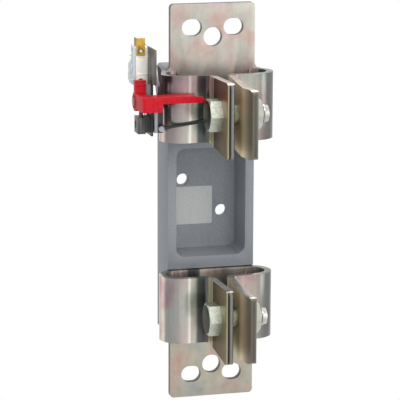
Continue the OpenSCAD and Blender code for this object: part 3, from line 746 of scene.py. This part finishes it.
leverPin = {"headScale": 0.55, "edge": 0.0002}


# the pin's head is lower than the solid's
def makePin():
    pin = cleanCopy("lever_pin", "leverPin")
    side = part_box("signal_lever")[0][0]
    for vertex in pin.data.vertices:
        if vertex.co.x < side:
            vertex.co.x = side - (side - vertex.co.x) * leverPin["headScale"]
    roundEdges(pin, leverPin["edge"], 2)
    giveFinish(pin, "darkRed")
    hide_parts("lever_pin")
    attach(pin, nodes["lever_pin"]["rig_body"])


# switch: housing with two bars and a collar in front

switchShape = {"edge": 0.0006, "right": 0.0004, "sunk": 0.001, "barEdge": 0.0003}
switchRib = {"left": 0.0004, "proud": 0.0003, "bottom": 0.0072, "top": 0.0084}
switchShelf = {"left": 0.0006, "proud": 0.0004, "bottom": -0.0078, "top": -0.0070}
switchCollar = {"aside": 0.0002, "rise": 0.003, "radius": 0.0023, "wire": 0.0004}


def addSwitchBar(name, bar, low, high, base):
    piece = addBlock(name, (low[0] + bar["left"], low[1] - bar["proud"], base + bar["bottom"]),
                     (high[0] - switchShape["right"], low[1] + switchShape["sunk"], base + bar["top"]))
    roundEdges(piece, switchShape["barEdge"], 2)
    return piece


def makeSwitch():
    low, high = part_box("switch_body")
    body = cleanCopy("switch_body", "switchHousing")
    roundEdges(body, switchShape["edge"], 3)
    rib = addSwitchBar("switch.rib", switchRib, low, high, low[2])
    middle = (low[0] + high[0]) / 2 - switchCollar["aside"]
    collar = addRing("switch.collar", (middle, low[1], low[2] + switchCollar["rise"]), (0, 1, 0),
                     switchCollar["radius"], switchCollar["wire"])
    shelf = addSwitchBar("switch.shelf", switchShelf, low, high, high[2])
    parts = [body, rib, collar, shelf]
    for part in parts:
        giveFinish(part, "white")
    housing = joinPieces(parts, "switchHousing")
    smoothFaces()
    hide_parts("switch_body")
    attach(housing, "fuse_base")


# lid: a plate with a knob on its outer side, both with their rear corners cut away

switchLid = {"edge": 0.0004, "knob": 0.0014, "knobFoot": 0.0001, "knobSunk": 0.0004, "cuts": [
    ((0, -0.0460, 0.1200), (0, 0.787, 0.617)), ((0, -0.0300, 0.0945), (0, 0.514, -0.857))]}


def cutLid(piece):
    for corner, normal in switchLid["cuts"]:
        cutAway(piece, corner, normal)


def makeSwitchLid():
    low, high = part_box("switch_cover")
    outer = low[0] + switchLid["knob"]
    lid = addBlock("switchLid", (outer, low[1], low[2]), high)
    cutLid(lid)
    knob = cleanCopy("switch_cover", "switchLid.knob")
    cutAway(knob, (outer - switchLid["knobFoot"], 0, 0), (1, 0, 0))
    for vertex in knob.data.vertices:
        vertex.co.x += switchLid["knobSunk"]
    cutLid(knob)
    for part in (lid, knob):
        roundEdges(part, switchLid["edge"], 3)
        giveFinish(part, "lid")
    lid = joinPieces([lid, knob], "switchLid")
    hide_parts("switch_cover")
    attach(lid, "fuse_base")


# switch screws: the head above the split sits on the housing, where the lid's corner is cut away,
# and the head below it stands a little out of the lid

switchScrews = {"split": 0.106, "headGap": 0.00045, "headScale": 0.25, "headProud": 0.0003,
                "edge": 0.0002}


def makeSwitchScrews():
    screws = cleanCopy("switch_screws", "switchScrews")
    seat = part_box("switch_body")[0][0]
    for vertex in screws.data.vertices:
        if vertex.co.x >= seat:
            continue
        if vertex.co.z > switchScrews["split"]:
            height = seat - switchScrews["headGap"] - vertex.co.x
            vertex.co.x = seat - height * switchScrews["headScale"]
        else:
            vertex.co.x -= switchScrews["headProud"]
    roundEdges(screws, switchScrews["edge"], 2)
    giveFinish(screws, "bolt")
    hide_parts("switch_screws")
    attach(screws, "fuse_base")


# terminals: the two at the back are shorter than the solids, as the photo shows next to nothing of them

backTerminals = {"shorten": 0.5, "edge": 0.0001}
topTerminal = {"edge": 0.00018, "eyeIn": 0.0034, "eyeProud": 0.0001, "eyeDrop": 0.003,
               "eye": 0.0016, "eyeWire": 0.0004, "facing": -0.8}


def makeBackTerminals():
    leaves = cleanCopy("back_terminals", "backTerminals")
    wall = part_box("switch_body")[1][1]
    for vertex in leaves.data.vertices:
        if vertex.co.y > wall:
            vertex.co.y = wall + (vertex.co.y - wall) * backTerminals["shorten"]
    roundEdges(leaves, backTerminals["edge"], 2)
    giveFinish(leaves, "brass")
    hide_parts("back_terminals")
    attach(leaves, "fuse_base")


def makeTerminal():
    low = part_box("common_terminal")[0]
    leaf = cleanCopy("common_terminal", "brassTerminal")
    roundEdges(leaf, topTerminal["edge"], 2)
    place = (low[0] + topTerminal["eyeIn"], low[1] - topTerminal["eyeProud"],
             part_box("switch_body")[1][2] - topTerminal["eyeDrop"])
    eye = addRing("terminal.eye", place, (0, 1, 0), topTerminal["eye"], topTerminal["eyeWire"])
    # the leaf's left-facing faces and the eye take the darker brass: painted shade
    giveFinish(leaf, "brass", "shadedBrass")
    giveFinish(eye, "brass", "shadedBrass")
    bpy.ops.object.shade_smooth()
    for face in leaf.data.polygons:
        face.material_index = 1 if face.normal.x < topTerminal["facing"] else 0
    for face in eye.data.polygons:
        face.material_index = 1
    terminal = joinPieces([leaf, eye], "brassTerminal")
    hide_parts("common_terminal")
    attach(terminal, "fuse_base")


# stage, camera and light

view = {
    "azimuth": -15.06, "elevation": 12.11, "roll": 0.21, "distance": 1.6667,
    "target": (-0.00897, -0.034, 0.00228), "lens": 202.5, "sensor": 36, "farClip": 10,
}


def placeCamera():
    azimuth = math.radians(view["azimuth"])
    elevation = math.radians(view["elevation"])
    away = Vector((math.sin(azimuth) * math.cos(elevation),
                   -math.cos(azimuth) * math.cos(elevation), math.sin(elevation)))
    data = bpy.data.cameras.new("photoCamera")
    data.sensor_width = view["sensor"]
    data.lens = view["lens"]
    data.clip_end = view["farClip"]
    camera = bpy.data.objects.new("photoCamera", data)
    bpy.context.scene.collection.objects.link(camera)
    camera.location = Vector(view["target"]) + away * view["distance"]
    turn = (-away).to_track_quat("-Z", "Y").to_euler()
    turn.rotate_axis("Z", math.radians(view["roll"]))
    camera.rotation_euler = turn
    bpy.context.scene.camera = camera


# the camera, a mirroring and a clear surface all see the surround at its full brightness
def addSeen(tree):
    rays = tree.nodes.new("ShaderNodeLightPath").outputs
    seen = addMath(tree, "MAXIMUM", rays["Is Camera Ray"], rays["Is Glossy Ray"])
    return addMath(tree, "MAXIMUM", seen, rays["Is Transmission Ray"])


paleFloor = {"color": (0.9, 0.9, 0.9, 1), "roughness": 0.9, "glow": (1, 1, 1, 1), "size": 8,
             "height": -0.34}


def floorMaterial():
    material, tree, shader = newMaterial("paleFloor")
    nodeInput(shader, "Base Color", paleFloor["color"])
    nodeInput(shader, "Roughness", paleFloor["roughness"])
    glow = tree.nodes.new("ShaderNodeEmission")
    nodeInput(glow, "Color", paleFloor["glow"])
    nodeInput(glow, "Strength", 1.0)
    mix = tree.nodes.new("ShaderNodeMixShader")
    tree.links.new(addSeen(tree), mix.inputs["Fac"])
    tree.links.new(shader.outputs["BSDF"], mix.inputs[1])
    tree.links.new(glow.outputs["Emission"], mix.inputs[2])
    tree.links.new(mix.outputs["Shader"], tree.nodes["Material Output"].inputs["Surface"])
    return material


def makeStage():
    bpy.ops.object.select_all(action="DESELECT")
    bpy.ops.mesh.primitive_plane_add(size=paleFloor["size"], location=(0, 0, paleFloor["height"]))
    floor = bpy.context.active_object
    floor.name = "paleFloor"
    floor.data.materials.append(floorMaterial())


studio = {"dim": 0.55, "full": 1.0, "color": (1, 1, 1, 1), "aim": (0, -0.04, 0)}
lamps = {
    "keyFront": {"place": (0.25, -1.9, 0.8), "size": (1.2, 1.2), "power": 17, "mirrored": False},
    "glintLeft": {"place": (-0.45, -1.1, 1.6), "size": (0.9, 0.9), "power": 10, "mirrored": True},
    "fillRight": {"place": (1.4, -1.1, 0.2), "size": (0.8, 1.4), "power": 6, "mirrored": True},
    "topBack": {"place": (0.1, 0.5, 1.4), "size": (1.0, 0.6), "power": 8, "mirrored": True},
}


def softBox(name, box):
    data = bpy.data.lights.new(name, "AREA")
    data.shape = "RECTANGLE"
    data.size, data.size_y = box["size"]
    data.energy = box["power"]
    lamp = bpy.data.objects.new(name, data)
    bpy.context.scene.collection.objects.link(lamp)
    lamp.location = box["place"]
    lamp.visible_glossy = box["mirrored"]
    toward = Vector(studio["aim"]) - Vector(box["place"])
    lamp.rotation_euler = toward.to_track_quat("-Z", "Y").to_euler()


def makeLight():
    world = bpy.data.worlds.new("studio")
    bpy.context.scene.world = world
    world.use_nodes = True
    tree = world.node_tree
    background = tree.nodes["Background"]
    strength = addRange(tree, addSeen(tree), studio["dim"], studio["full"])
    tree.links.new(strength.outputs["Result"], background.inputs["Strength"])
    nodeInput(background, "Color", studio["color"])
    for name, box in lamps.items():
        softBox(name, box)


finishes = makeFinishes()
dressNodes()
for nodeName, width in softening.items():
    softenNode(nodeName, width)
for side, height in contactHeights.items():
    makeContact(side)
    makeBolt(side, height)
makeNuts()
makeLabel()
makeLever()
makePin()
makeSwitch()
makeSwitchLid()
makeSwitchScrews()
makeBackTerminals()
makeTerminal()
print("pieces made")
makeStage()
placeCamera()
makeLight()
bpy.context.scene.view_settings.view_transform = "Standard"
print("scene ready")
